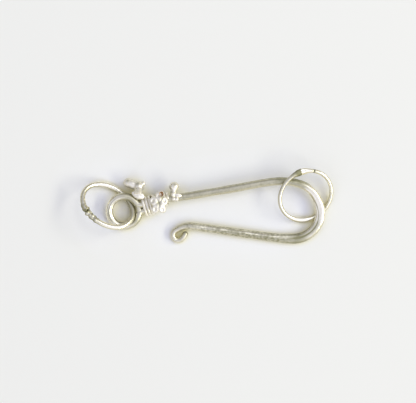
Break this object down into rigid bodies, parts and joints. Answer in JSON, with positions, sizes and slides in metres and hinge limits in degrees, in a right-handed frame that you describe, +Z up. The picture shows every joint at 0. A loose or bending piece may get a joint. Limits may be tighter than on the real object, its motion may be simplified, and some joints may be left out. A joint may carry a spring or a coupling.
{
  "type": "hook and eye clasp",
  "caption": "Long wire hook with a hammered bend, a curled tip and a wire-bound eyelet that carries a blossom, hooked through a round jump ring; joins the ends of a chain.",
  "frame": {"origin": "middle of the clasp's footprint, on the surface that it lies on", "axes": "+X along the clasp from the chain ring to the eye ring, +Y across it toward the sprigs, +Z up"},
  "size_m": [0.0405, 0.0121, 0.0042],
  "materials": {
    "hook_silver": "hand-polished silver with fine hammer and draw marks",
    "binding_silver": "fine silver wire, darkened between the turns",
    "blossom_silver": "bright silver petals with a darkened cup",
    "sprig_silver": "bright fused silver balls",
    "ring_silver": "bright drawn silver wire"
  },
  "bodies": {
    "root": {"hook": "hook_silver", "binding_wire": "binding_silver", "blossom": "blossom_silver", "eyelet_sprig": "sprig_silver", "stem_sprig": "sprig_silver", "chain_ring": "ring_silver", "eye_ring": "ring_silver"}
  },
  "joints": []
}
